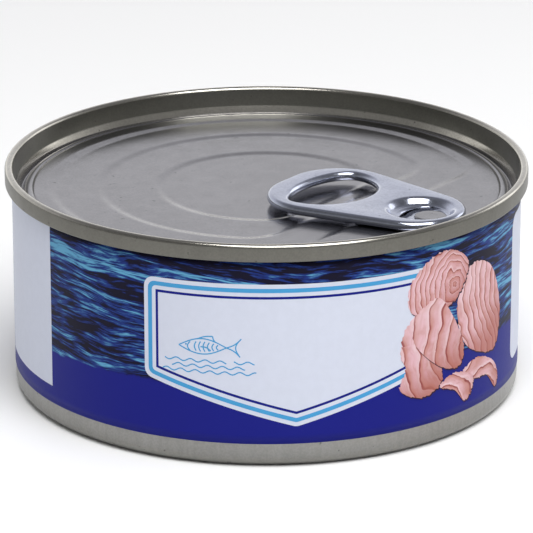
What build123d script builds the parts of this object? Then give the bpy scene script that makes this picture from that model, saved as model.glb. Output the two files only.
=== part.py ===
from build123d import *
import os

# Round food can with an easy-open end: drawn steel body, beaded end with a double seam,
# ring pull held by the end's own rivet, and a paper label wrapped round the wall.
# Millimetres, +Z up, origin at the centre of the base.

# Overall
seam_diameter = 87.3
can_height = 38.1
body_diameter = 84.8

# Body
body_wall = 0.25
base_corner = 2.0
base_recess = 1.0
foot_width = 1.6
foot_slope = 0.9
base_bead_radius = 32.0
base_bead_width = 3.6
base_bead_height = 0.45

# Double seam
seam_height = 2.9
seam_thickness = 1.35
seam_round = 0.6
seam_lip = 0.3
hook_height = 1.6

# End, depths measured down from the seam's top
sheet = 0.25
bend = 0.18
wall_step_depth = 3.2
wall_step_radius = 41.75
wall_foot_depth = 4.15
wall_foot_radius = 41.3
countersink_depth = 4.95
countersink_width = 0.5
countersink_slope = 0.2
panel_depth = 3.9
shoulder_width = 0.8
shoulder_drop = 0.3
score_width = 0.22
score_depth = 0.1
score_inset = 0.5

# Beads pressed into the panel: rounds cut off square to the ring pull,
# each one step lower than the one around it
bead_step = 0.2
bead_slope = 1.3
bead_corner = 3.2
beads = [(35.8, 24.0), (27.8, 16.4), (18.0, 13.0)]

# Ring pull, on a line from the can's axis
pull_angle = -36.0
pull_top_depth = 2.2
pull_thickness = 1.55
pull_sheet = 0.3
pull_start = 4.0
pull_length = 34.2
ring_width = 23.3
ring_corner = 9.3
nose_radius = 8.6
hole_start = 8.05
hole_length = 12.35
hole_width = 17.9
hole_widest = 4.3
rim_round = 0.7
under_round = 0.45

# Rivet, and the well with the tongue that it holds
rivet_place = 33.0
well_place = 31.0
well_top_radius = 5.7
well_floor_radius = 4.6
well_depth = 1.1
well_round = 0.35
slot_place = 33.7
slot_radius = 5.15
slot_width = 0.9
slot_half_angle = 52.0
boss_radius = 2.5
post_radius = 1.5
head_radius = 2.65
head_height = 0.22
rivet_clearance = 0.05

# Label
label_thickness = 0.1
label_foot = 4.15
label_clearance = 0.1
lap_width = 7.0

seam_radius = seam_diameter / 2
seam_inner = seam_radius - seam_thickness
seam_foot = can_height - seam_height
body_radius = body_diameter / 2
panel_top = can_height - panel_depth
pull_top = can_height - pull_top_depth
pull_base = pull_top - pull_thickness
tongue_top = pull_top - well_depth
tongue_base = tongue_top - pull_sheet
panel_edge = wall_foot_radius - 2 * countersink_slope - countersink_width - shoulder_width
pressed_radius = beads[0][0] + bead_slope


def wall_points():
    """Top of the end's sheet from the seam in to the flat panel, as (radius, height)."""
    foot = wall_foot_radius
    channel = can_height - countersink_depth
    inner = foot - countersink_slope - countersink_width
    return [
        (seam_inner, can_height - seam_round),
        (wall_step_radius, can_height - wall_step_depth),
        (foot, can_height - wall_foot_depth),
        (foot - countersink_slope, channel),
        (inner, channel),
        (inner - countersink_slope, panel_top - shoulder_drop),
        (panel_edge, panel_top),
        (pressed_radius, panel_top),
    ]


def parallel(points, distance):
    """The same line of points set off square to its left."""
    moved = []
    steps = [(Vector(*b) - Vector(*a)).normalized() for a, b in zip(points, points[1:])]
    for index, point in enumerate(points):
        before = steps[max(index - 1, 0)]
        after = steps[min(index, len(steps) - 1)]
        across = Vector(-(before.Y + after.Y), before.X + after.X)
        reach = distance / across.dot(Vector(-after.Y, after.X))
        moved.append((point[0] + across.X * reach, point[1] + across.Y * reach))
    return moved


def at_height(line, height):
    """The line's first stretch cut at a height, so that it starts there."""
    (r1, z1), (r2, z2) = line[0], line[1]
    share = (height - z1) / (z2 - z1)
    return [(r1 + share * (r2 - r1), height)] + line[1:]


def under_points():
    """Underside of the end's sheet, from the seam's foot in to the flat panel."""
    return at_height(parallel(wall_points(), sheet), seam_foot)


def hook_points():
    """Top of the body's wall where it is folded up into the seam, from outside in."""
    top = seam_foot + hook_height
    inner = body_radius - body_wall
    return [(body_radius, seam_foot), (body_radius, top), (inner, top), (inner, seam_foot)]


def section(lines):
    """Lines that close round a face on the XZ plane, turned into a round solid."""
    face = make_face([edge for line in lines for edge in line.edges()])
    return revolve(Plane.XZ * face, Axis.Z)


def turned_end():
    """The end outside its pressed middle: seam, wall, countersink and shoulder."""
    inside = wall_points()
    under = under_points()
    top = can_height
    edge = seam_radius
    lip = seam_lip
    rim = [
        RadiusArc(inside[0], (seam_inner + seam_round, top), seam_round),
        Line((seam_inner + seam_round, top), (edge - seam_round, top)),
        RadiusArc((edge - seam_round, top), (edge, top - seam_round), seam_round),
        Line((edge, top - seam_round), (edge, seam_foot + lip)),
        RadiusArc((edge, seam_foot + lip), (edge - lip, seam_foot), lip),
        Polyline((edge - lip, seam_foot), *hook_points(), under[0]),
    ]
    lines = [FilletPolyline(*inside, radius=bend), FilletPolyline(*under, radius=bend)]
    return section(lines + rim + [Line(inside[-1], under[-1])])


def bead_face(radius, chord, height):
    """A round cut off at the chord, its two corners rounded."""
    reach = 2 * radius
    keep = Pos(chord - reach / 2, 0) * Rectangle(reach, reach)
    outline = fillet((Circle(radius) & keep).vertices(), bead_corner)
    return Pos(0, 0, height) * Rot(0, 0, pull_angle) * outline


def bead_pockets():
    """The space that each bead takes out of the panel."""
    half = bead_slope / 2
    pockets = []
    for index, (radius, chord) in enumerate(beads):
        top = panel_top - index * bead_step
        upper = bead_face(radius + half, chord + half, top)
        lower = bead_face(radius - half, chord - half, top - bead_step)
        pockets.append(loft([upper, lower], ruled=True))
    return pockets


def pressed_panel():
    """The panel's middle as a sheet that follows its beads on both sides."""
    depth = 2 * len(beads) * bead_step
    form = Pos(0, 0, panel_top - depth / 2) * Cylinder(pressed_radius, depth)
    for pocket in bead_pockets():
        form -= pocket
    return form - Pos(0, 0, -sheet) * form


def disc(radius, low, high, along=rivet_place):
    """An upright disc on the ring pull's line, between two heights."""
    place = Rot(0, 0, pull_angle) * Pos(along, 0, (low + high) / 2)
    return place * Cylinder(radius, high - low)


def rivet():
    """The end's own rivet: a boss under the tongue, the post through it and the head."""
    boss = disc(boss_radius, panel_top, tongue_base)
    post = disc(post_radius, panel_top, tongue_top + head_height / 2)
    head = disc(head_radius, tongue_top, tongue_top + head_height)
    head = fillet(head.edges().group_by(Axis.Z)[-1], head_height / 2)
    return boss + post + head


def can_end():
    """Seam, wall, panel and rivet of the easy-open end, all of one sheet."""
    score_radius = panel_edge - score_inset
    ring = Circle(score_radius + score_width / 2) - Circle(score_radius - score_width / 2)
    score = extrude(Pos(0, 0, panel_top) * ring, -score_depth)
    return turned_end() - score + pressed_panel() + rivet()


def base_line():
    """Underside of the body from the axis to its foot, as filleted points."""
    corner = body_radius - base_corner
    inner = corner - foot_width
    low = base_recess - base_bead_height
    half = base_bead_width / 2
    points = [
        (0, base_recess),
        (base_bead_radius - half, base_recess),
        (base_bead_radius - half + base_bead_height, low),
        (base_bead_radius + half - base_bead_height, low),
        (base_bead_radius + half, base_recess),
        (inner - foot_slope, base_recess),
        (inner, 0),
        (corner, 0),
    ]
    return FilletPolyline(*points, radius=base_bead_height / 2)


def can_body():
    """Drawn body, filled up to the underside of the end."""
    under = under_points()
    corner = body_radius - base_corner
    axis_top = (0, under[-1][1])
    edges = [
        base_line(),
        RadiusArc((corner, 0), (body_radius, base_corner), -base_corner),
        Line((body_radius, base_corner), (body_radius, seam_foot)),
        Polyline(*hook_points(), under[0]),
        FilletPolyline(*under[:-1], axis_top, radius=bend),
        Line(axis_top, (0, base_recess)),
    ]
    body = section(edges)
    for pocket in bead_pockets():
        body -= Pos(0, 0, -sheet) * pocket
    return body


def pull_outline():
    """Plan of the ring pull: a wide ring end drawn in to a round nose."""
    spread = ring_width / 2 - ring_corner
    centre = pull_start + ring_corner
    rounds = [(centre, spread, ring_corner), (centre, -spread, ring_corner)]
    rounds.append((pull_start + pull_length - nose_radius, 0, nose_radius))
    edges = [Pos(u, v) * Circle(r).edge() for u, v, r in rounds]
    return make_hull(edges)


def finger_hole():
    """Plan of the finger hole: an egg, blunt towards the ring's end."""
    half = hole_width / 2
    blunt_side = Pos(-half, 0) * Rectangle(hole_width, hole_width)
    fine_side = Pos(half, 0) * Rectangle(hole_width, hole_width)
    blunt = Ellipse(hole_widest, half) & blunt_side
    fine = Ellipse(hole_length - hole_widest, half) & fine_side
    return Pos(hole_start + hole_widest, 0) * (blunt + fine)


def ring_pull():
    """Ring pull with its finger hole, sunk rivet well and cut-out tongue."""
    plate = extrude(pull_outline() - finger_hole(), pull_thickness)
    plate = fillet(plate.edges().group_by(Axis.Z)[-1], rim_round)
    plate = fillet(plate.edges().group_by(Axis.Z)[0], under_round)
    well_z = pull_thickness - well_depth / 2
    well = Cone(well_floor_radius, well_top_radius, well_depth)
    plate -= Pos(well_place, 0, well_z) * well
    rim = plate.edges().filter_by(GeomType.CIRCLE).filter_by(
        lambda e: abs(e.radius - well_top_radius) < 0.01 and e.center().Z > well_z)
    plate = fillet(rim, well_round)
    under_gap = pull_thickness - well_depth - pull_sheet
    plate -= Pos(well_place, 0, under_gap / 2) * Cylinder(well_top_radius, under_gap)
    plate -= tongue_slot()
    plate -= Pos(0, 0, pull_thickness / 2) * rivet_hole()
    return Rot(0, 0, pull_angle) * Pos(0, 0, pull_base) * plate


def tongue_slot():
    """Curved cut that frees the tongue on the ring's side of the rivet."""
    start = 180 - slot_half_angle
    middle = CenterArc((slot_place, 0), slot_radius, start, 2 * slot_half_angle)
    return extrude(SlotArc(middle, slot_width), pull_thickness)


def rivet_hole():
    """Hole that the rivet's post passes through, with its clearance."""
    return Pos(rivet_place, 0) * Cylinder(post_radius + rivet_clearance, pull_thickness)


def label():
    """Paper wrap round the wall, its two ends lapped at the back."""
    height = seam_foot - label_clearance - label_foot
    outer = body_radius + label_thickness
    middle = Pos(0, 0, label_foot + height / 2)
    wrap = Cylinder(outer, height) - Cylinder(body_radius, height)
    lap = Cylinder(outer + label_thickness, height) - Cylinder(outer, height)
    lap &= Pos(0, outer, 0) * Box(lap_width, outer, height)
    return middle * (wrap + lap)


pieces = {
    "can_body": can_body(),
    "can_end": can_end(),
    "ring_pull": ring_pull(),
    "label": label(),
}

os.makedirs("parts", exist_ok=True)
for name, solid in pieces.items():
    export_step(solid, f"parts/{name}.step")
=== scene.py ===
"""Round food can: steel body, easy-open end with a ring pull, and a printed paper wrap."""
import math

import bmesh
import bpy
from mathutils import Matrix, Vector


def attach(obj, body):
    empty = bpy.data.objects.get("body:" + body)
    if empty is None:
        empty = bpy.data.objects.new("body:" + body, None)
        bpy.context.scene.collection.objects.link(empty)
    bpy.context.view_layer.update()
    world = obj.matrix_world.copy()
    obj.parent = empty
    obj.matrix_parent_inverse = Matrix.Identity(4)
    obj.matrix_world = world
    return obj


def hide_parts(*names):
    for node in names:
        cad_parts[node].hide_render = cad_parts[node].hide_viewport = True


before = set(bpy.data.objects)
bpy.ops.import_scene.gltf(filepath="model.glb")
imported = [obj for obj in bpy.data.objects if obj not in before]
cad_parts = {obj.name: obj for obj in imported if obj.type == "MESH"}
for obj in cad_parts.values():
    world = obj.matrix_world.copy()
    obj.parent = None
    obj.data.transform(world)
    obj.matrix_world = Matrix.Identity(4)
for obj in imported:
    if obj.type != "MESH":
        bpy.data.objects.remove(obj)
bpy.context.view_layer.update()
MM = 0.001
MAP_UNIT = 100.0

bl_info = {
    "name": "Food can",
    "version": (1, 0, 0),
    "blender": (4, 5, 0),
    "location": "View3D > Sidebar > Food can",
    "description": "Builds the pieces of a round food can and its stage",
    "category": "Object",
}


# Sizes and colours

def size(name, words, value):
    """A length in millimetres, kept in a property group."""
    return bpy.props.FloatProperty(name=name, description=words, default=value, unit="NONE")


def colour(name, words, value):
    """A linear colour, kept in a property group."""
    return bpy.props.FloatVectorProperty(
        name=name, description=words, default=value, subtype="COLOR", size=3, min=0, max=1)


class CanSizes(bpy.types.PropertyGroup):
    """Sizes of the steel parts, in millimetres."""
    height: size("Height", "Base to the seam's top", 38.1)
    seam_radius: size("Seam radius", "Outside of the double seam", 43.65)
    seam_height: size("Seam height", "Depth of the double seam", 2.9)
    seam_thickness: size("Seam thickness", "Across the double seam", 1.35)
    seam_round: size("Seam rounding", "Rounding of the seam's top", 0.62)
    body_radius: size("Body radius", "Outside of the bare wall", 42.4)
    base_corner: size("Base corner", "Rounding of the body's lower corner", 2.0)
    step_depth: size("Wall step depth", "Where the inner wall turns outward", 3.2)
    step_radius: size("Wall step radius", "Inner wall at its step", 41.75)
    foot_depth: size("Wall foot depth", "Foot of the inner wall", 4.15)
    foot_radius: size("Wall foot radius", "Inner wall at its foot", 41.3)
    channel_depth: size("Channel depth", "Countersink below the seam's top", 4.95)
    panel_depth: size("Panel depth", "Panel below the seam's top", 3.9)
    panel_radius: size("Panel radius", "Flat panel's edge", 39.6)
    bead_step: size("Bead step", "Drop at each pressed bead", 0.2)
    bead_slope: size("Bead slope", "Width of each bead's slope", 1.9)
    bead_corner: size("Bead corner", "Rounding where a bead is cut off", 3.2)
    pull_angle: size("Ring pull angle", "Degrees from +X", -36.0)
    pull_depth: size("Ring pull depth", "Its top below the seam's top", 2.2)
    pull_thickness: size("Ring pull thickness", "Curled edge, top to bottom", 1.55)
    pull_sheet: size("Ring pull sheet", "Thickness of the tongue", 0.3)
    rivet_place: size("Rivet place", "Rivet from the can's axis", 33.0)
    well_place: size("Well place", "Sunk well from the can's axis", 31.0)
    well_depth: size("Well depth", "Sunk well below the ring pull's top", 1.1)
    slot_place: size("Slot place", "Middle of the tongue's curved cut", 33.7)
    slot_radius: size("Slot radius", "Radius of the tongue's curved cut", 5.15)
    slot_width: size("Slot width", "Width of the tongue's curved cut", 0.9)
    slot_reach: size("Slot reach", "Half of the cut's turn, in degrees", 52.0)
    post_radius: size("Rivet post", "Rivet through the tongue", 1.5)
    head_radius: size("Rivet head", "Rivet's pressed head", 2.65)


class PrintSizes(bpy.types.PropertyGroup):
    """Sizes of the label and its print, in millimetres round and up the wall."""
    radius: size("Label radius", "Outside of the paper", 42.5)
    foot: size("Label foot", "Lower edge of the paper", 4.15)
    top: size("Label top", "Upper edge, under the seam", 35.1)
    shield_left: size("Shield left", "Left side of the shield", -20.2)
    shield_middle: size("Shield middle", "Where its lower point is", 4.8)
    shield_top: size("Shield top", "Upper edge of the shield", 31.2)
    shield_side: size("Shield side", "Lower end of its upright sides", 14.4)
    shield_tip: size("Shield tip", "Its lower point", 7.1)
    water_foot: size("Water foot", "Lower edge of the water", 14.0)
    panel_foot: size("Panel foot", "Lower edge of the side panels", 7.1)
    panel_top: size("Panel top", "Upper edge of the side panels", 32.6)
    panel_corner: size("Panel corner", "Rounding of the side panels", 2.4)
    line_width: size("Line width", "Width of the line drawing's strokes", 0.2)
    lap: size("Lap", "Width of the lapped edge at the back", 7.0)


class CanColours(bpy.types.PropertyGroup):
    """Base colours."""
    steel: colour("Steel", "Bare drawn wall", (0.31, 0.305, 0.285))
    end: colour("End", "Pressed end", (0.305, 0.30, 0.315))
    # Painted shade: a darker copy of the end's steel, for the dark surroundings the inner wall
    # reflects.
    wall: colour("Inner wall", "Wall inside the seam", (0.19, 0.187, 0.165))
    # Painted highlight: a bright copy of the end's steel, for the light that the inner wall's
    # foot and the seam's top reflect.
    end_highlight: colour("Wall foot", "Foot of the inner wall", (0.52, 0.50, 0.45))
    # Painted shade: a darker copy of the end's steel, for the darker reflection on the outside
    # of the seam.
    seam: colour("Seam", "Outside of the seam", (0.18, 0.175, 0.155))
    pull: colour("Ring pull", "Bright ring pull", (0.50, 0.53, 0.64))
    blue: colour("Blue", "Dark blue field", (0.009, 0.012, 0.215))
    deep: colour("Deep water", "Darkest water", (0.005, 0.004, 0.018))
    mid: colour("Water", "Middle of the water", (0.013, 0.035, 0.21))
    crest: colour("Crests", "Lightest water", (0.13, 0.40, 0.62))
    white: colour("White", "Pale print", (0.68, 0.715, 0.83))
    stripe: colour("Stripe", "Light blue print", (0.07, 0.35, 0.66))
    line: colour("Line", "Thin dark line", (0.006, 0.012, 0.22))
    fish: colour("Fish", "Cooked fillet", (0.76, 0.47, 0.52))
    flesh: colour("Flesh", "Browner parts of the fillet", (0.56, 0.25, 0.21))
    grain: colour("Grain", "Grooves of the fillet", (0.27, 0.045, 0.045))
    fish_light: colour("Fish light", "Palest edges of the folds", (0.87, 0.67, 0.71))
    fish_low: colour("Fish foot", "Shaded lower side of a chunk", (0.42, 0.13, 0.095))
    shade: colour("Shade", "Dark print under the chunks", (0.035, 0.012, 0.03))


def sizes(group):
    """A property group of the scene."""
    return getattr(bpy.context.scene, group)


# Shader expressions

class Sock:
    """A node socket that can be used in Python arithmetic."""

    def __init__(self, graph, socket):
        self.graph = graph
        self.socket = socket

    def op(self, operation, *others):
        return self.graph.maths(operation, self, *others)

    def __add__(self, other):
        return self.op("ADD", other)

    def __sub__(self, other):
        return self.op("SUBTRACT", other)

    def __mul__(self, other):
        return self.op("MULTIPLY", other)

    def __truediv__(self, other):
        return self.op("DIVIDE", other)

    def __rsub__(self, other):
        return self.graph.maths("SUBTRACT", other, self)

    def __rtruediv__(self, other):
        return self.graph.maths("DIVIDE", other, self)

    __radd__ = __add__
    __rmul__ = __mul__


class Graph:
    """The nodes of a material or world, made by a few short calls."""

    def __init__(self, owner):
        owner.use_nodes = True
        self.owner = owner
        self.tree = owner.node_tree
        self.tree.nodes.clear()

    def node(self, kind, settings=(), inputs=(), output=0):
        made = self.tree.nodes.new(kind)
        for key, value in dict(settings).items():
            setattr(made, key, value)
        for key, value in dict(inputs).items():
            if isinstance(value, Sock):
                self.tree.links.new(value.socket, made.inputs[key])
            else:
                made.inputs[key].default_value = value
        return Sock(self, made.outputs[output])

    def maths(self, operation, *values):
        inputs = {i: v for i, v in enumerate(values)}
        return self.node("ShaderNodeMath", {"operation": operation}, inputs)

    def position(self):
        return self.node("ShaderNodeTexCoord", output="Object")

    def parts(self, vector):
        first = self.node("ShaderNodeSeparateXYZ", {}, {0: vector})
        return [Sock(self, out) for out in first.socket.node.outputs]

    def vector(self, x, y, z):
        return self.node("ShaderNodeCombineXYZ", {}, {0: x, 1: y, 2: z})

    def noise(self, vector, scale, detail=3.0, roughness=0.5):
        return self.node("ShaderNodeTexNoise", {}, {
            "Vector": vector, "Scale": scale, "Detail": detail, "Roughness": roughness})

    def between(self, value, low, high):
        """0 below low and 1 above high, smooth between."""
        return self.node("ShaderNodeMapRange", {"interpolation_type": "SMOOTHSTEP"}, {
            "Value": value, "From Min": low, "From Max": high})

    def mix(self, factor, first, second):
        def full(value):
            return value if isinstance(value, Sock) else (*value, 1.0)
        return self.node("ShaderNodeMix", {"data_type": "RGBA"}, {
            0: factor, 6: full(first), 7: full(second)}, output=2)

    def bump(self, height, strength, distance):
        return self.node("ShaderNodeBump", {}, {
            "Height": height, "Strength": strength, "Distance": distance})

    def finish(self, **inputs):
        names = {key.replace("_", " "): value for key, value in inputs.items()}
        for key, value in names.items():
            if isinstance(value, tuple):
                names[key] = (*value, 1.0)
        shader = self.node("ShaderNodeBsdfPrincipled", {}, names)
        return self.close("ShaderNodeOutputMaterial", shader)

    def close(self, kind, shader):
        """Links a shader to the output node. Returns the material or world."""
        out = self.tree.nodes.new(kind)
        self.tree.links.new(shader.socket, out.inputs["Surface"])
        return self.owner


def material_graph(name):
    return Graph(bpy.data.materials.new(name))


def around(graph):
    """Distance round the wall from its front, and height, both in millimetres."""
    x, y, z = graph.parts(graph.position())
    angle = graph.maths("ARCTAN2", x, y * -1.0)
    return angle * sizes("can_print").radius, z * 1000.0


def reach_and_height(graph):
    """Distance from the can's axis and height, both in millimetres."""
    x, y, z = graph.parts(graph.position())
    return graph.maths("SQRT", x * x + y * y) * 1000.0, z * 1000.0


def worn_steel(g, shade, roughness, grain_scale, seed):
    """Finishes a steel shade with a fine grain, soft stains and small dark flecks."""
    where = g.position()
    x, y, z = g.parts(where)
    grain = g.noise(g.vector(x * grain_scale, y * grain_scale, z * 40.0 + seed), 1.0, 4.0, 0.6)
    cloud = g.noise(where, 60.0, 3.0, 0.5)
    fleck = g.between(g.noise(where, 900.0, 2.0, 0.5), 0.715, 0.76)
    fine = g.noise(where, 2800.0, 2.0, 0.5)
    dark = g.between(cloud, 0.65, 0.3) * 0.07 + g.between(grain, 0.3, 0.7) * 0.08
    dark = dark + fleck * 0.45 + g.between(fine, 0.35, 0.65) * 0.10
    shade = g.mix(dark, shade, (0.03, 0.03, 0.028))
    rough = roughness + (cloud - 0.5) * 0.08 + (grain - 0.5) * 0.08
    bump = g.bump(grain, 0.05, 0.0002)
    return g.finish(Base_Color=shade, Metallic=1.0, Roughness=rough, Normal=bump)


def body_material():
    """Drawn wall: upright grain, and painted shade that darkens it towards the foot."""
    g = material_graph("drawn_steel")
    base = tuple(sizes("can_colours").steel)
    _, z = reach_and_height(g)
    # Painted shade: the wall darkens over its lowest few millimetres, standing in for the
    # floor's contact shadow seen in the steel.
    shade = g.mix(g.between(z, 3.6, 0.4) * 0.35, base, (0.10, 0.097, 0.09))
    return worn_steel(g, shade, 0.30, 1100.0, 0.0)


def end_material():
    """Pressed end: bright panel; the inner wall and seam are rougher and carry painted shade,
    and the inner wall's foot and the seam's top a painted highlight.
    """
    g = material_graph("end_steel")
    colours = sizes("can_colours")
    s = sizes("can_sizes")
    r, z = reach_and_height(g)
    # Painted highlight on the steel beyond the wall's foot. The wall and seam masks below cover
    # most of it, leaving the foot band and the seam's top.
    end_highlight_mask = g.between(r, s.foot_radius - 0.15, s.foot_radius + 0.05)
    above_foot = g.between(z, s.height - 3.35, s.height - 3.05)
    below_lip = g.between(z, s.height - 0.15, s.height - 0.5)
    # Painted shade on the inner wall, from above its foot up to below its lip.
    wall = g.between(r, s.foot_radius - 0.1, s.foot_radius + 0.3) * above_foot * below_lip
    # Painted shade on the outside of the seam, below its rounded top.
    seam_side = g.between(r, s.seam_radius - 0.7, s.seam_radius - 0.35)
    seam = seam_side * g.between(z, s.height - 0.25, s.height - 0.65)
    shade = g.mix(end_highlight_mask, tuple(colours.end), tuple(colours.end_highlight))
    shade = g.mix(wall, shade, tuple(colours.wall))
    shade = g.mix(seam, shade, tuple(colours.seam))
    rough = 0.19 + wall * 0.10 + seam * 0.12
    return worn_steel(g, shade, rough, 300.0, 3.0)


def pull_material():
    """Bright ring pull."""
    g = material_graph("pull_steel")
    return worn_steel(g, tuple(sizes("can_colours").pull), 0.17, 300.0, 7.0)


def print_coat(graph, shade):
    """Printed paper with a dull varnish."""
    fibre = graph.noise(graph.position(), 1500.0, 2.0, 0.5)
    bump = graph.bump(fibre, 0.05, 0.0001)
    rough = 0.45 + (fibre - 0.5) * 0.08
    return graph.finish(
        Base_Color=shade, Roughness=rough, Specular_IOR_Level=0.12, Normal=bump)


def around_once(g, around_mm):
    """A slow rise and fall that meets itself at the back of the wall."""
    return g.maths("SINE", around_mm / sizes("can_print").radius)


def water_shade(g, around_mm, up_mm):
    """Rippled water: long flat streaks, near-black troughs and pale crests."""
    colours = sizes("can_colours")
    lean = up_mm + around_once(g, around_mm) * 1.9
    warp = g.noise(g.vector(around_mm * 0.05, lean * 0.14, 2.0), 1.0, 2.0, 0.5)
    bend = lean + warp * 5.0
    swell = g.noise(g.vector(around_mm * 0.045, bend * 0.32, 5.0), 1.0, 2.0, 0.5)
    streak = g.noise(g.vector(around_mm * 0.10, bend * 1.05, 9.0), 1.0, 4.0, 0.6)
    fine = g.noise(g.vector(around_mm * 0.30, bend * 3.4, 14.0), 1.0, 3.0, 0.6)
    light = swell * 0.5 + streak * 0.6 + fine * 0.4
    shade = g.mix(g.between(light, 0.70, 0.775), tuple(colours.deep), tuple(colours.mid))
    return g.mix(g.between(light, 0.775, 0.89), shade, tuple(colours.crest))


def label_material():
    """Dark blue foot below a field of rippled water."""
    g = material_graph("label_print")
    colours = sizes("can_colours")
    s, z = around(g)
    water = water_shade(g, s, z)
    edge_noise = g.noise(g.vector(s * 0.25, 0.0, 3.0), 1.0, 3.0, 0.6)
    foot = sizes("can_print").water_foot
    edge = foot + (edge_noise - 0.5) * 2.0 + around_once(g, s) * 0.85
    ragged = g.between(z - edge, -0.15, 0.45)
    shade = g.mix(ragged, tuple(colours.blue), water)
    return print_coat(g, shade)


def plain_print(name, base):
    """One printed colour with the faint mottle of ink on paper."""
    g = material_graph(name)
    mottle = g.noise(g.position(), 700.0, 3.0, 0.6)
    shade = g.mix(g.between(mottle, 0.3, 0.7), tuple(0.975 * c for c in base), tuple(base))
    return print_coat(g, shade)


def told(g, name):
    """The two values that a map of the chunks holds, in millimetres or as a count."""
    u, v, _ = g.parts(g.node("ShaderNodeUVMap", {"uv_map": name}))
    return u * MAP_UNIT, v * MAP_UNIT


def fish_material():
    """Cooked fillet: soft folds, each with a darker groove, and fine threads."""
    g = material_graph("fillet_print")
    colours = sizes("can_colours")
    flesh, light = tuple(colours.flesh), tuple(colours.fish_light)
    s, z = around(g)
    fold_s, fold_z = told(g, "folds")
    mid_s, mid_z = told(g, "middle")
    pitch, index = told(g, "pitch")
    seed = index * 5.0

    # Folds: rings round each chunk's own centre, bent by noise
    ds, dz = s - fold_s, z - fold_z
    warp = g.noise(g.vector(s * 0.16, z * 0.16, seed), 1.0, 2.0, 0.5) - 0.5
    reach = g.maths("SQRT", ds * ds + dz * dz) + warp * 4.0
    turn = g.maths("ARCTAN2", dz, ds) * 9.0
    fold = reach / pitch
    wave = g.noise(g.vector(turn * 0.22, fold * 0.5, seed), 1.0, 3.0, 0.5)
    thread = g.noise(g.vector(turn * 0.5, fold * 6.0, 4.0), 1.0, 4.0, 0.65)
    part = g.maths("FRACT", fold + (wave - 0.5) * 0.8 + (thread - 0.5) * 0.10 + 40.0)
    groove = g.between(part, 0.82, 0.94) * g.between(part, 0.999, 0.965)
    patchy = g.between(g.noise(g.vector(turn * 0.3, fold, 8.0), 1.0, 2.0, 0.5), 0.36, 0.56)

    # Colour: mottled flesh, pale to brown across a fold, browner low on the chunk
    tone = g.noise(g.vector(s * 0.22, z * 0.3, 2.0), 1.0, 3.0, 0.55)
    low = (s - mid_s) * 0.07 - (z - mid_z) * 0.11
    shade = g.mix(g.between(tone, 0.42, 0.66) * 0.55, tuple(colours.fish), flesh)
    shade = g.mix(g.between(part, 0.36, 0.04) * 0.6, shade, light)
    shade = g.mix(g.between(part, 0.42, 0.93) * 0.9, shade, flesh)
    shade = g.mix(g.between(thread, 0.48, 0.66) * 0.4, shade, flesh)
    shade = g.mix(g.between(low, -0.1, 0.9) * 0.75, shade, tuple(colours.fish_low))
    shade = g.mix(g.between(low, -0.35, -0.9) * 0.35, shade, light)
    shade = g.mix(groove * (0.3 + patchy * 0.65), shade, tuple(colours.grain))
    return print_coat(g, shade)


# Meshes

def add_piece(name, mesh, material, smooth=True):
    """A mesh as an object in the frame's metres, riding with the can."""
    data = bpy.data.meshes.new(name)
    mesh.to_mesh(data)
    mesh.free()
    data.transform(Matrix.Scale(MM, 4))
    piece = bpy.data.objects.new(name, data)
    bpy.context.scene.collection.objects.link(piece)
    data.materials.append(material)
    if smooth:
        data.shade_smooth()
    else:
        data.shade_flat()
    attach(piece, "root")
    return piece


def join(whole, part):
    """Adds one mesh to another and frees it."""
    data = bpy.data.meshes.new("part")
    part.to_mesh(data)
    part.free()
    whole.from_mesh(data)
    bpy.data.meshes.remove(data)


def raise_faces(mesh, out):
    """Extrudes flat faces into a thin solid whose outer side lies at a height."""
    made = bmesh.ops.extrude_face_region(mesh, geom=mesh.faces[:])
    for item in made["geom"]:
        if isinstance(item, bmesh.types.BMVert):
            item.co.z = out


def spin_line(points, steps=256):
    """Points of (radius, height) turned full circle round Z."""
    mesh = bmesh.new()
    verts = [mesh.verts.new((r, 0.0, z)) for r, z in points]
    edges = [mesh.edges.new(pair) for pair in zip(verts, verts[1:])]
    bmesh.ops.spin(
        mesh, geom=verts + edges, cent=(0, 0, 0), axis=(0, 0, 1), angle=2 * math.pi,
        steps=steps, use_merge=True)
    bmesh.ops.remove_doubles(mesh, verts=mesh.verts, dist=0.0005)
    bmesh.ops.recalc_face_normals(mesh, faces=mesh.faces)
    return mesh


def arc(centre, radius, start, end, steps=8):
    """Points along an arc, angles in degrees."""
    turns = [math.radians(start + (end - start) * i / steps) for i in range(steps + 1)]
    return [(centre[0] + radius * math.cos(t), centre[1] + radius * math.sin(t)) for t in turns]


def run(start, end, steps):
    """Evenly spaced points along a straight stretch, without its two ends."""
    return [
        tuple(a + (b - a) * i / steps for a, b in zip(start, end)) for i in range(1, steps)]


def rounded(points, radius, steps=6):
    """A closed outline with its corners rounded."""
    made = []
    count = len(points)
    for index, point in enumerate(points):
        corner = Vector(point)
        before = (Vector(points[index - 1]) - corner).normalized()
        after = (Vector(points[(index + 1) % count]) - corner).normalized()
        half = before.angle(after) / 2
        reach = radius / math.tan(half)
        centre = corner + (before + after).normalized() * (radius / math.sin(half))
        first = corner + before * reach - centre
        last = corner + after * reach - centre
        turn = first.angle_signed(last)
        for step in range(steps + 1):
            spot = Matrix.Rotation(-turn * step / steps, 2) @ first
            made.append(tuple(centre + spot))
    return made


# Body, end and ring pull

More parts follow.
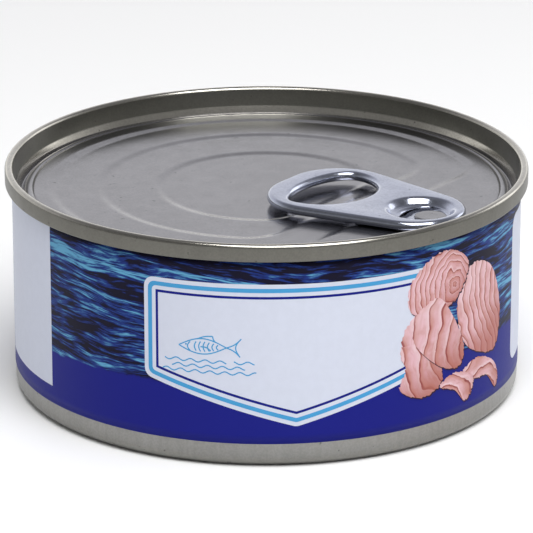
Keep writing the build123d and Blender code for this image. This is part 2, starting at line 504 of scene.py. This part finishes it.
def body_piece():
    """Bare drawn wall, its rounded foot and the beaded base."""
    s = sizes("can_sizes")
    wall, corner = s.body_radius, s.base_corner
    top = s.height - s.seam_height
    foot = wall - corner
    recess, inside = 1.0, top - 2.4
    line = [(0.0, recess), *run((0.0, recess), (30.2, recess), 8), (30.2, recess)]
    line += arc((30.9, recess), 0.5, 180, 270, 4)[1:]
    line += [(33.0, 0.55), (33.4, 0.8), (33.8, recess), (37.6, recess), (37.9, 0.95)]
    line += [(38.6, 0.08), (38.8, 0.0), (foot, 0.0)]
    line += arc((foot, corner), corner, -90, 0, 12)[1:]
    line += [*run((wall, corner), (wall, top + 0.2), 10), (wall, top + 0.2)]
    line += [(wall - 0.35, top + 0.3), (wall - 0.35, inside), (0.0, inside)]
    return spin_line(line)


def bead_distance(x, y, radius, chord, corner):
    """Distance outside a round cut off at a chord, negative inside it."""
    across = math.hypot(x, y) - radius
    beyond = x - chord
    a, b = across + corner, beyond + corner
    return math.hypot(max(a, 0.0), max(b, 0.0)) + min(max(a, b), 0.0) - corner


# Pressed beads: radius, and how far out each is cut off towards the ring pull
BEADS = ((35.8, 24.0), (27.8, 16.4), (18.0, 13.0))


def press(x, y):
    """Depth of the pressed beads at a point of the panel."""
    s = sizes("can_sizes")
    turn = math.radians(s.pull_angle)
    u = x * math.cos(turn) + y * math.sin(turn)
    v = y * math.cos(turn) - x * math.sin(turn)
    depth = 0.0
    for radius, chord in BEADS:
        d = bead_distance(u, v, radius, chord, s.bead_corner)
        share = min(max(0.5 - d / s.bead_slope, 0.0), 1.0)
        depth += s.bead_step * share * share * (3 - 2 * share)
    return depth


def end_piece():
    """Double seam, inner wall, channel and beaded panel in one turned sheet."""
    s = sizes("can_sizes")
    top, outer = s.height, s.seam_radius
    inner = outer - s.seam_thickness
    curl = s.seam_round
    seam_foot = top - s.seam_height
    channel = top - s.channel_depth
    panel = top - s.panel_depth
    line = [(s.body_radius, seam_foot + 0.4), (s.body_radius, seam_foot)]
    line += arc((outer - 0.3, seam_foot + 0.3), 0.3, -90, 0, 5)
    line += arc((outer - curl, top - curl), curl, 0, 90, 10)
    line += arc((inner + curl, top - curl), curl, 90, 180, 10)
    step, foot = top - s.step_depth, top - s.foot_depth
    line += [(s.step_radius + 0.02, step + 0.15), (s.step_radius - 0.03, step)]
    line += [(s.foot_radius + 0.03, foot + 0.1), (s.foot_radius - 0.02, foot - 0.1)]
    line += [(41.12, channel + 0.12), (41.02, channel + 0.02), (40.85, channel)]
    line += [(40.68, channel + 0.02), (40.58, channel + 0.12), (40.42, panel - 0.42)]
    line += [(40.33, panel - 0.25), (40.12, panel - 0.12)]
    line += [(39.85, panel - 0.03), (s.panel_radius, panel)]
    line += [(39.25, panel), (39.18, panel - 0.08), (39.05, panel - 0.08), (38.98, panel)]
    rings = 110
    line += [(38.6 * (1 - i / rings) + 0.001, panel) for i in range(rings + 1)]
    mesh = spin_line(line, 288)
    limit = panel + 0.05
    for vert in mesh.verts:
        reach = math.hypot(vert.co.x, vert.co.y)
        if reach < s.panel_radius and vert.co.z < limit:
            vert.co.z -= press(vert.co.x, vert.co.y)
    return mesh


def drawn_in(plan, grow, height, count=48):
    """Closed loop with a wide end drawn in to a round nose, grown by an offset."""
    spread, wide, corner, nose_at, nose = plan
    reach = math.hypot(nose_at - wide, spread)
    lean = math.degrees(math.atan2(spread, nose_at - wide) + math.asin((corner - nose) / reach))
    turn = 90 - lean
    points = arc((nose_at, 0.0), nose + grow, -turn, turn, count)
    points += arc((wide, spread), corner + grow, turn, 180, count)
    points += arc((wide, -spread), corner + grow, 180, 360 - turn, count)
    return [(u, v, height) for u, v in points]


def egg_loop(plan, grow, height, count=96):
    """Closed egg-shaped loop, blunt towards the ring's end, grown by an offset."""
    middle, blunt, fine, half = plan
    points = []
    for i in range(count):
        turn = 2 * math.pi * i / count
        reach = (fine if math.cos(turn) > 0 else blunt) + grow
        points.append((middle + reach * math.cos(turn), (half + grow) * math.sin(turn), height))
    return points


def round_loop(centre, radius, height, count=96):
    """A closed circle of points on the ring pull's line."""
    turns = [2 * math.pi * i / count for i in range(count)]
    return [(centre + radius * math.cos(t), radius * math.sin(t), height) for t in turns]


def slot_loop(height):
    """The curved cut round the tongue, its two ends rounded."""
    s = sizes("can_sizes")
    middle, half = s.slot_radius, s.slot_width / 2
    centre = (s.slot_place, 0.0)
    first, last = 180 - s.slot_reach, 180 + s.slot_reach
    low_end, high_end = (arc(centre, middle, turn, turn, 1)[0] for turn in (first, last))
    points = arc(centre, middle + half, first, last, 40)
    points += arc(high_end, half, last, last + 180, 8)[1:-1]
    points += arc(centre, middle - half, last, first, 40)
    points += arc(low_end, half, first + 180, first + 360, 8)[1:-1]
    return [(u, v, height) for u, v in points]


def add_loops(mesh, loops):
    """Closed rings of points bridged one to the next. Returns the edges of each ring."""
    rings = []
    for loop in loops:
        verts = [mesh.verts.new(p) for p in loop]
        rings.append([mesh.edges.new((a, b)) for a, b in zip(verts, verts[1:] + verts[:1])])
    for first, second in zip(rings, rings[1:]):
        bmesh.ops.bridge_loops(mesh, edges=first + second)
    return rings


def quarter(radius, steps=7):
    """(inset, drop) pairs of a rounded edge, from its side up to its flat."""
    turns = [math.pi / 2 * i / steps for i in range(steps + 1)]
    return [(radius * (1 - math.cos(t)), radius * (1 - math.sin(t))) for t in turns]


# Ring: half the spread of its corners, their place, their radius, the nose's place and radius
RING_PLAN = (2.35, 13.3, 9.3, 29.6, 8.6)
# Finger hole: its widest place, reach to the blunt and to the fine end, half its width
HOLE_PLAN = (12.35, 4.3, 8.05, 8.95)
# Sunk well: radius and depth down its side
BOWL = ((6.25, 0.0), (5.95, 0.03), (5.7, 0.12), (5.5, 0.27), (5.25, 0.52),
        (5.0, 0.8), (4.82, 0.97), (4.6, 1.07), (4.35, 1.1))


def pull_mesh():
    """Ring pull: curled rim, finger hole, sunk well and its cut-out tongue."""
    s = sizes("can_sizes")
    top = s.pull_thickness
    floor = top - s.well_depth
    under_tongue = floor - s.pull_sheet
    sheet = (floor, under_tongue)
    mesh = bmesh.new()
    rim, under = quarter(0.8), quarter(0.6)
    edge = [(i, d) for i, d in reversed(under)] + [(i, top - d) for i, d in rim]
    outer = add_loops(mesh, [drawn_in(RING_PLAN, -i, z) for i, z in edge])
    hole = add_loops(mesh, [egg_loop(HOLE_PLAN, i, z) for i, z in edge])
    well = add_loops(mesh, [round_loop(s.well_place, r, top - d) for r, d in BOWL])
    slot = add_loops(mesh, [slot_loop(z) for z in sheet])
    pin_radius = s.post_radius + 0.05
    pin = add_loops(mesh, [round_loop(s.rivet_place, pin_radius, z, 48) for z in sheet])
    lower = add_loops(mesh, [round_loop(s.well_place, 5.6, z) for z in (0.0, under_tongue)])
    for parts in (
            (outer[-1], hole[-1], well[0]), (outer[0], hole[0], lower[0]),
            (well[-1], slot[0], pin[0]), (lower[1], slot[1], pin[1])):
        bmesh.ops.triangle_fill(mesh, edges=[e for part in parts for e in part], use_beauty=True)
    bmesh.ops.remove_doubles(mesh, verts=mesh.verts, dist=0.0005)
    bmesh.ops.recalc_face_normals(mesh, faces=mesh.faces)
    place = Matrix.Translation((0, 0, s.height - s.pull_depth - top))
    mesh.transform(place @ Matrix.Rotation(math.radians(s.pull_angle), 4, "Z"))
    return mesh


def rivet_mesh():
    """Head of the end's own rivet, with its boss below the tongue."""
    s = sizes("can_sizes")
    tongue = s.height - s.pull_depth - s.well_depth
    below = tongue - s.pull_sheet
    panel = s.height - s.panel_depth
    head, post, boss = s.head_radius, s.post_radius, 2.5
    line = [(0.0, tongue + 0.19), (1.2, tongue + 0.2), (head - 0.4, tongue + 0.22)]
    line += [(head - 0.2, tongue + 0.2), (head - 0.07, tongue + 0.14), (head, tongue + 0.05)]
    line += [(head, tongue), (post, tongue), (post, below)]
    line += [(boss, below), (boss, panel), (0.0, panel)]
    mesh = spin_line(line, 64)
    turn = Matrix.Rotation(math.radians(s.pull_angle), 4, "Z")
    mesh.transform(turn @ Matrix.Translation((s.rivet_place, 0, 0)))
    return mesh


# Label and its print

def wrap(mesh, radius):
    """Bends a flat mesh of (round, up, out) millimetres onto the wall."""
    for vert in mesh.verts:
        s, z, out = vert.co
        angle = s / radius
        vert.co = ((radius + out) * math.sin(angle), -(radius + out) * math.cos(angle), z)


def slice_up(mesh, low, high, pitch):
    """Cuts a flat mesh into narrow upright strips so that it can be bent."""
    cuts = int((high - low) / pitch)
    for index in range(1, cuts):
        geom = mesh.verts[:] + mesh.edges[:] + mesh.faces[:]
        at = low + (high - low) * index / cuts
        bmesh.ops.bisect_plane(mesh, geom=geom, plane_co=(at, 0, 0), plane_no=(1, 0, 0))


def print_mesh(outlines, lift, holes=(), thickness=0.03):
    """Flat printed shapes, each a closed outline, bent onto the wall as thin solids."""
    mesh = bmesh.new()
    for outline in outlines:
        edges = []
        for line in (outline, *holes):
            verts = [mesh.verts.new((s, z, lift - thickness)) for s, z in line]
            edges += [mesh.edges.new(p) for p in zip(verts, verts[1:] + verts[:1])]
        bmesh.ops.triangle_fill(mesh, edges=edges, use_beauty=True, normal=(0, 0, 1))
    lows = [v.co.x for v in mesh.verts]
    slice_up(mesh, min(lows), max(lows), 1.2)
    raise_faces(mesh, lift)
    wrap(mesh, sizes("can_print").radius)
    bmesh.ops.remove_doubles(mesh, verts=mesh.verts, dist=0.0001)
    bmesh.ops.recalc_face_normals(mesh, faces=mesh.faces)
    return mesh


def shield_outline(inset, corner):
    """The shield drawn in by an inset: flat top, upright sides, a point below."""
    p = sizes("can_print")
    half = p.shield_middle - p.shield_left
    fall = (p.shield_side - p.shield_tip) / half
    drop = inset * math.hypot(1.0, fall)
    left, right = p.shield_left + inset, p.shield_middle + half - inset
    top, tip = p.shield_top - inset, p.shield_tip + drop
    side = tip + (half - inset) * fall
    points = [(left, top), (left, side), (p.shield_middle, tip), (right, side), (right, top)]
    if corner <= 0:
        return points
    return rounded(points, corner)


def box(left, right, low, high):
    """Corners of an upright rectangle."""
    return [(left, high), (left, low), (right, low), (right, high)]


def label_mesh():
    """Paper wrap with its lapped edge at the back."""
    p = sizes("can_print")
    inner = sizes("can_sizes").body_radius + 0.005
    line = [(inner, p.foot), (p.radius, p.foot)]
    line += [*run((p.radius, p.foot), (p.radius, p.top), 20), (p.radius, p.top)]
    line += [(inner, p.top), (inner, p.foot)]
    mesh = spin_line(line, 256)
    lap = bmesh.new()
    back, half = math.pi * p.radius, p.lap / 2
    lap.faces.new([lap.verts.new((s, z, 0.0)) for s, z in box(
        back - half, back + half, p.foot, p.top)])
    slice_up(lap, back - half, back + half, 0.8)
    raise_faces(lap, 0.09)
    wrap(lap, p.radius)
    bmesh.ops.recalc_face_normals(lap, faces=lap.faces)
    join(mesh, lap)
    return mesh


def stroke(points, width):
    """Outline of a drawn line of some width."""
    left, right = [], []
    for index, point in enumerate(points):
        before = Vector(points[max(index - 1, 0)])
        after = Vector(points[min(index + 1, len(points) - 1)])
        along = (after - before).normalized()
        across = Vector((-along.y, along.x)) * width / 2
        left.append(tuple(Vector(point) + across))
        right.append(tuple(Vector(point) - across))
    return left + right[::-1]


def bowed(start, end, rise, steps=20):
    """Points along a shallow bow between two points."""
    a, b = Vector(start), Vector(end)
    across = Vector((a.y - b.y, b.x - a.x)).normalized()
    shares = [i / steps for i in range(steps + 1)]
    return [tuple(a.lerp(b, t) + across * rise * math.sin(math.pi * t)) for t in shares]


def motif_outlines():
    """Light line drawing: a plain fish over rows of waves."""
    lines = []
    rows = ((16.1, -17.0, -1.6), (17.0, -15.4, -3.4), (17.9, -16.6, -6.4), (17.9, -5.2, -1.9))
    for row, (z, left, right) in enumerate(rows):
        count = int((right - left) * 4)
        spots = [left + (right - left) * i / count for i in range(count + 1)]
        lines.append([(s, z + 0.24 * math.sin(2.6 * s + row)) for s in spots])
    nose, root = (-14.2, 20.3), (-6.4, 20.4)
    upper_tail, lower_tail, fin_tip = (-4.0, 22.0), (-4.2, 18.9), (-8.6, 22.2)
    lines += [bowed(root, nose, -1.35), bowed(root, nose, 1.25)]
    lines += [bowed(root, upper_tail, -0.25, 8), bowed(root, lower_tail, 0.25, 8)]
    lines += [bowed(upper_tail, lower_tail, -0.8, 12)]
    lines += [bowed((-12.3, 21.05), (-12.3, 19.5), -0.45, 8)]
    lines += [bowed((-11.2, 21.55), fin_tip, 0.2, 8), bowed(fin_tip, (-8.2, 21.3), -0.1, 6)]
    lines += [bowed((-10.6, 20.3), (-8.9, 19.7), 0.25, 8)]
    for step in range(6):
        s = -11.3 + 0.72 * step
        half = 0.85 * math.sin(math.pi * (s - nose[0]) / (root[0] - nose[0]))
        lines.append(bowed((s, 20.35 + half), (s, 20.35 - half), -0.3, 8))
    turns = [2 * math.pi * i / 12 for i in range(12)]
    eye = [(-13.0 + 0.16 * math.cos(t), 20.55 + 0.16 * math.sin(t)) for t in turns]
    width = sizes("can_print").line_width
    return [stroke(line, width) for line in lines] + [eye]


def smooth_ring(points, steps=12):
    """A closed smooth line through some points, with a slightly torn edge."""
    made = []
    count = len(points)
    for i in range(count):
        p0, p1, p2, p3 = (Vector(points[(i + k - 1) % count]) for k in range(4))
        for step in range(steps):
            t = step / steps
            spot = 0.5 * (2 * p1 + (p2 - p0) * t + (2 * p0 - 5 * p1 + 4 * p2 - p3) * t * t
                          + (3 * p1 - p0 - 3 * p2 + p3) * t ** 3)
            k = len(made)
            torn = 0.10 * math.sin(2.7 * k) + 0.08 * math.sin(1.3 * k + 1)
            made.append((spot.x + torn, spot.y - torn))
    return made


# Fillets: outline, centre of its folds, width of a fold, lift above the paper
FILLETS = [
    (((38, 29), (43, 28), (46, 24), (47.5, 18), (45.5, 12.5), (39, 14), (35.5, 17.5),
      (34.5, 24)), (66, 27), 1.5, 0.05),
    (((30.5, 33), (34, 32.5), (37, 30), (36, 26.5), (32.5, 23.5), (25, 23.5), (24, 28),
      (27, 31.5)), (33.5, 27), 0.95, 0.065),
    (((27.5, 24.5), (23.5, 21.5), (22.5, 17), (23.5, 14.5), (22.5, 11), (27, 9), (31, 11),
      (30, 16), (29.5, 22)), (39, 18.5), 2.3, 0.08),
    (((29.5, 25.5), (33, 22), (36, 16), (35, 12.5), (30.5, 13.5), (25.5, 18), (25, 22)),
     (46, 16.5), 2.7, 0.11),
    (((36, 11), (40, 12.5), (45, 10.5), (47, 7.5), (46, 5.5), (43, 8.5), (39.5, 9)),
     (42, 3.5), 2.4, 0.06),
    (((30.5, 10), (34, 11.5), (38.5, 10), (38.5, 7.5), (36.5, 6), (34, 8.5)),
     (31.5, 4.5), 2.4, 0.09),
]


def fillet_meshes():
    """Chunks of fillet, each with maps that hold its folds' centre, its middle and its pitch."""
    whole = bmesh.new()
    for index, (points, folds, pitch, lift) in enumerate(FILLETS):
        part = print_mesh([smooth_ring(points)], lift, thickness=lift)
        middle = [sum(point[k] for point in points) / len(points) for k in (0, 1)]
        for name, pair in (("folds", folds), ("pitch", (pitch, index)), ("middle", middle)):
            layer = part.loops.layers.uv.new(name)
            for face in part.faces:
                for loop in face.loops:
                    loop[layer].uv = (pair[0] / MAP_UNIT, pair[1] / MAP_UNIT)
        join(whole, part)
    return whole


def fillet_shade_mesh():
    """Dark print that shows under the edges of the chunks."""
    whole = bmesh.new()
    for points, _, _, lift in FILLETS:
        ring = [(s + 0.16, z - 0.26) for s, z in smooth_ring(points)]
        join(whole, print_mesh([ring], lift - 0.01, thickness=lift - 0.01))
    return whole


# Operators

class CAN_OT_body(bpy.types.Operator):
    """Builds the bare steel body"""
    bl_idname = "can.body"
    bl_label = "Body"

    def execute(self, context):
        piece = add_piece("body", body_piece(), body_material())
        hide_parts("can_body")
        return {"FINISHED"}


class CAN_OT_end(bpy.types.Operator):
    """Builds the easy-open end and its rivet"""
    bl_idname = "can.end"
    bl_label = "End"

    def execute(self, context):
        mesh = end_piece()
        join(mesh, rivet_mesh())
        piece = add_piece("end", mesh, end_material())
        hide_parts("can_end")
        return {"FINISHED"}


class CAN_OT_pull(bpy.types.Operator):
    """Builds the ring pull"""
    bl_idname = "can.pull"
    bl_label = "Ring pull"

    def execute(self, context):
        piece = add_piece("pull", pull_mesh(), pull_material())
        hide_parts("ring_pull")
        return {"FINISHED"}


class CAN_OT_label(bpy.types.Operator):
    """Builds the paper wrap"""
    bl_idname = "can.label"
    bl_label = "Label"

    def execute(self, context):
        piece = add_piece("wrap", label_mesh(), label_material())
        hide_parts("label")
        return {"FINISHED"}


class CAN_OT_print(bpy.types.Operator):
    """Builds the crisp printed shapes on the wrap"""
    bl_idname = "can.print"
    bl_label = "Print"

    def execute(self, context):
        colours = sizes("can_colours")
        p = sizes("can_print")
        white = plain_print("print_white", tuple(colours.white))
        stripe = plain_print("print_stripe", tuple(colours.stripe))
        dark = plain_print("print_line", tuple(colours.line))
        shade = plain_print("print_shade", tuple(colours.shade))
        left = box(-62.0, -41.2, p.panel_foot, p.top)
        right, far = (
            rounded(box(start, end, p.panel_foot, p.panel_top), p.panel_corner)
            for start, end in ((53.6, 101.0), (-117.0, -70.0)))
        made = [
            ("shield", print_mesh([shield_outline(0.0, 1.7)], 0.02), white),
            ("shield_stripe", print_mesh(
                [shield_outline(0.70, 1.2)], 0.03, [shield_outline(1.40, 0.75)]), stripe),
            ("shield_line", print_mesh(
                [shield_outline(2.05, 0)], 0.03, [shield_outline(2.47, 0)]), dark),
            ("side_panels", print_mesh([left, right, far], 0.02), white),
            ("motif", print_mesh(motif_outlines(), 0.03), stripe),
            ("fillet_shade", fillet_shade_mesh(), shade),
            ("fillets", fillet_meshes(), fish_material()),
        ]
        for name, mesh, material in made:
            piece = add_piece(name, mesh, material, smooth=False)
        return {"FINISHED"}


class CAN_OT_stage(bpy.types.Operator):
    """Builds the floor, the light and the camera"""
    bl_idname = "can.stage"
    bl_label = "Stage"

    def execute(self, context):
        floor_mesh = bmesh.new()
        bmesh.ops.create_grid(floor_mesh, x_segments=1, y_segments=1, size=3.0)
        data = bpy.data.meshes.new("floor")
        floor_mesh.to_mesh(data)
        floor_mesh.free()
        floor = bpy.data.objects.new("floor", data)
        context.scene.collection.objects.link(floor)
        graph = material_graph("floor")
        camera, glossy, through = (
            graph.node("ShaderNodeLightPath", output=f"Is {kind} Ray")
            for kind in ("Camera", "Glossy", "Transmission"))
        seen = graph.maths("MAXIMUM", graph.maths("MAXIMUM", camera, glossy), through)
        shade = graph.mix(seen, (0.78, 0.78, 0.78), (0.97, 0.97, 0.97))
        data.materials.append(graph.finish(Base_Color=shade, Roughness=0.9))
        self.light(context, "key", (0.14, -0.42, 0.85), 0.75, 10.2)
        self.light(context, "window", (0.85, 0.65, 0.40), 0.5, 1.0)
        self.world(context)
        self.camera(context)
        return {"FINISHED"}

    def light(self, context, name, place, width, power):
        data = bpy.data.lights.new(name, "AREA")
        data.energy = power
        data.size = width
        lamp = bpy.data.objects.new(name, data)
        lamp.location = place
        aim = Vector((0, 0, 0.02)) - Vector(place)
        lamp.rotation_euler = aim.to_track_quat("-Z", "Y").to_euler()
        context.scene.collection.objects.link(lamp)

    def world(self, context):
        """Pale behind the can, dimmer overhead and on the near side."""
        g = Graph(bpy.data.worlds.new("studio"))
        _, y, z = g.parts(g.node("ShaderNodeTexCoord", output="Generated"))
        shade = g.mix(g.between(z, 0.10, 0.26), (1.35, 1.34, 1.32), (0.90, 0.90, 0.93))
        shade = g.mix(g.between(z, 0.36, 0.75), shade, (0.26, 0.26, 0.28))
        near = g.between(y, 0.75, -0.35)
        shade = g.mix(near * 0.8, shade, (0.10, 0.10, 0.095))
        sky = g.node("ShaderNodeBackground", {}, {"Color": shade, "Strength": 1.0})
        context.scene.world = g.close("ShaderNodeOutputWorld", sky)

    def camera(self, context):
        data = bpy.data.cameras.new("camera")
        data.sensor_width = 36.0
        data.lens = 275.35
        camera = bpy.data.objects.new("camera", data)
        target = Vector((0.0, 0.0, 0.01937))
        distance, elevation = 0.6865, math.radians(19.30)
        back = Vector((0, -math.cos(elevation), math.sin(elevation)))
        camera.location = target + back * distance
        camera.rotation_euler = (-back).to_track_quat("-Z", "Y").to_euler()
        context.scene.collection.objects.link(camera)
        context.scene.camera = camera


class CAN_PT_panel(bpy.types.Panel):
    """Sidebar panel with the can's pieces"""
    bl_idname = "CAN_PT_panel"
    bl_label = "Food can"
    bl_space_type = "VIEW_3D"
    bl_region_type = "UI"
    bl_category = "Food can"

    def draw(self, context):
        for name in STEPS:
            self.layout.operator(f"can.{name}")


STEPS = ("body", "end", "pull", "label", "print", "stage")
GROUPS = {"can_sizes": CanSizes, "can_print": PrintSizes, "can_colours": CanColours}
CLASSES = (
    *GROUPS.values(), CAN_OT_body, CAN_OT_end, CAN_OT_pull, CAN_OT_label, CAN_OT_print,
    CAN_OT_stage, CAN_PT_panel)


def register():
    for item in CLASSES:
        bpy.utils.register_class(item)
    for name, group in GROUPS.items():
        setattr(bpy.types.Scene, name, bpy.props.PointerProperty(type=group))


def unregister():
    for name in GROUPS:
        delattr(bpy.types.Scene, name)
    for item in reversed(CLASSES):
        bpy.utils.unregister_class(item)


def main():
    register()
    for name in STEPS:
        getattr(bpy.ops.can, name)()
    scene = bpy.context.scene
    scene.view_settings.view_transform = "Standard"


if __name__ == "__main__":
    main()
